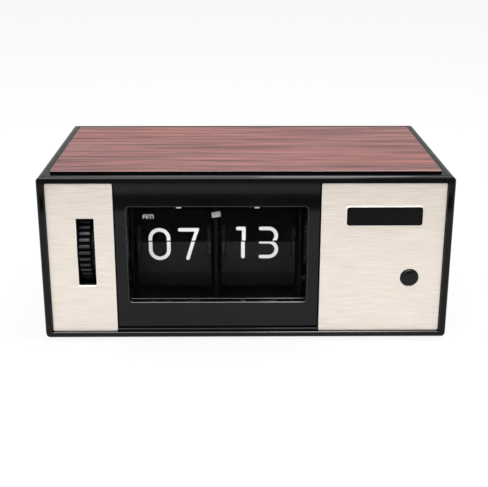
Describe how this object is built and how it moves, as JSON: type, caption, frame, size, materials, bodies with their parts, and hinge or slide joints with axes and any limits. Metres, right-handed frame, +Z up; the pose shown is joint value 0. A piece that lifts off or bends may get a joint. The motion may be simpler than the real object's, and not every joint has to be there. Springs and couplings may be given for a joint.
{
  "type": "flip clock",
  "caption": "Table flip clock: black case, wood-grain top, brushed metal front plates, windowed split-leaf time display, setting thumbwheel, push-button and rear battery door.",
  "frame": {"origin": "on the table, under the middle of the case", "axes": "+X to the right as seen from the front, +Y to the rear, +Z up"},
  "size_m": [0.1916, 0.1106, 0.0823],
  "materials": {
    "case_plastic": "satin moulded",
    "wood_grain": "satin vinyl veneer with grain along the width",
    "trim_metal": "champagne anodised, brushed along the width",
    "gloss_black": "polished",
    "lens_clear": "clear acrylic sheet",
    "foot_rubber": "matt",
    "screw_steel": "zinc plated",
    "inner_plastic": "matt moulded",
    "sheet_steel": "plain sheet",
    "bright_steel": "ground",
    "brass": "turned",
    "gear_nylon": "dark acetal",
    "leaf_plastic": "satin sheet with pale printed figures",
    "pale_plastic": "pale moulded",
    "black_steel": "blackened",
    "board": "laminate",
    "cell_jacket": "plain printed jacket"
  },
  "bodies": {
    "clock": {"case_shell": "case_plastic", "rear_cover": "case_plastic", "top_panel": "wood_grain", "front_frame": "inner_plastic", "left_trim": "trim_metal", "right_trim": "trim_metal", "window_bezel": "gloss_black", "window_lens": "lens_clear", "badge_plate": "gloss_black", "feet": "foot_rubber", "rear_screws": "screw_steel", "front_screws": "screw_steel", "movement_base": "inner_plastic", "base_screws": "black_steel", "left_plate": "inner_plastic", "centre_plate": "gloss_black", "right_plate": "inner_plastic", "tie_rods": "black_steel", "setting_bridge": "sheet_steel", "bridge_pillars": "black_steel", "thumbwheel_stud": "bright_steel", "motor_bracket": "sheet_steel", "motor_pillars": "black_steel", "motor": "bright_steel", "finger_rail": "inner_plastic", "hour_finger": "bright_steel", "minute_finger": "bright_steel", "centre_tab": "pale_plastic", "shaft_bushes": "gear_nylon", "circuit_board": "board", "board_screws": "screw_steel", "button_switch": "inner_plastic", "battery_tray": "inner_plastic", "battery_cells": "cell_jacket", "battery_contacts": "bright_steel", "hour_next_leaf": "leaf_plastic", "hour_lower_leaf": "leaf_plastic", "hour_leaf_pack": "leaf_plastic", "minute_next_leaf": "leaf_plastic", "minute_lower_leaf": "leaf_plastic", "minute_leaf_pack": "leaf_plastic"},
    "minute_drum": {"minute_drum": "inner_plastic", "drum_shaft": "bright_steel", "drive_gear": "gear_nylon", "carry_pinion": "brass", "setting_pinion": "brass"},
    "hour_drum": {"hour_drum": "inner_plastic", "hour_gear": "gear_nylon"},
    "carry": {"carry_gear": "gear_nylon", "carry_arbor": "bright_steel"},
    "thumbwheel": {"thumbwheel": "gloss_black", "thumbwheel_gear": "inner_plastic"},
    "reduction": {"reduction_gear": "gear_nylon", "reduction_arbor": "bright_steel"},
    "motor_rotor": {"motor_pinion": "brass"},
    "hour_leaf": {"hour_falling_leaf": "leaf_plastic"},
    "minute_leaf": {"minute_falling_leaf": "leaf_plastic"},
    "button": {"button_cap": "gloss_black", "switch_plunger": "inner_plastic"},
    "battery_door": {"battery_door": "case_plastic"}
  },
  "joints": [
    {"name": "minute_drum_spin", "type": "hinge", "parent": "clock", "child": "minute_drum", "pos_m": [0.0063, -0.01845, 0.0419], "axis": [1, 0, 0], "continuous": true},
    {"name": "hour_drum_spin", "type": "hinge", "parent": "clock", "child": "hour_drum", "pos_m": [-0.035, -0.01845, 0.0419], "axis": [1, 0, 0], "continuous": true},
    {"name": "carry_spin", "type": "hinge", "parent": "clock", "child": "carry", "pos_m": [-0.062, 0.00045, 0.0419], "axis": [1, 0, 0], "continuous": true},
    {"name": "thumbwheel_spin", "type": "hinge", "parent": "clock", "child": "thumbwheel", "pos_m": [-0.0752, -0.03688, 0.0435], "axis": [1, 0, 0], "continuous": true},
    {"name": "reduction_spin", "type": "hinge", "parent": "clock", "child": "reduction", "pos_m": [0.031, -0.00519, 0.02864], "axis": [1, 0, 0], "continuous": true},
    {"name": "motor_spin", "type": "hinge", "parent": "clock", "child": "motor_rotor", "pos_m": [0.034, 0.00981, 0.02864], "axis": [1, 0, 0], "continuous": true},
    {"name": "hour_leaf_fall", "type": "hinge", "parent": "clock", "child": "hour_leaf", "pos_m": [-0.035, -0.0308, 0.0419], "axis": [1, 0, 0], "range_deg": [0, 182]},
    {"name": "minute_leaf_fall", "type": "hinge", "parent": "clock", "child": "minute_leaf", "pos_m": [0.0063, -0.0308, 0.0419], "axis": [1, 0, 0], "range_deg": [0, 182]},
    {"name": "button_press", "type": "slide", "parent": "clock", "child": "button", "axis": [0, 1, 0], "range_m": [0, 0.0012], "stiffness_N_per_m": 600},
    {"name": "battery_door_swing", "type": "hinge", "parent": "clock", "child": "battery_door", "pos_m": [0, 0.052, 0.0352], "axis": [1, 0, 0], "range_deg": [0, 95]}
  ],
  "couplings": [
    {"joint": "hour_drum_spin", "follows": "minute_drum_spin", "ratio": 0.041667},
    {"joint": "carry_spin", "follows": "minute_drum_spin", "ratio": -0.25},
    {"joint": "thumbwheel_spin", "follows": "minute_drum_spin", "ratio": -0.32143},
    {"joint": "reduction_spin", "follows": "minute_drum_spin", "ratio": -4},
    {"joint": "motor_spin", "follows": "minute_drum_spin", "ratio": 12}
  ]
}
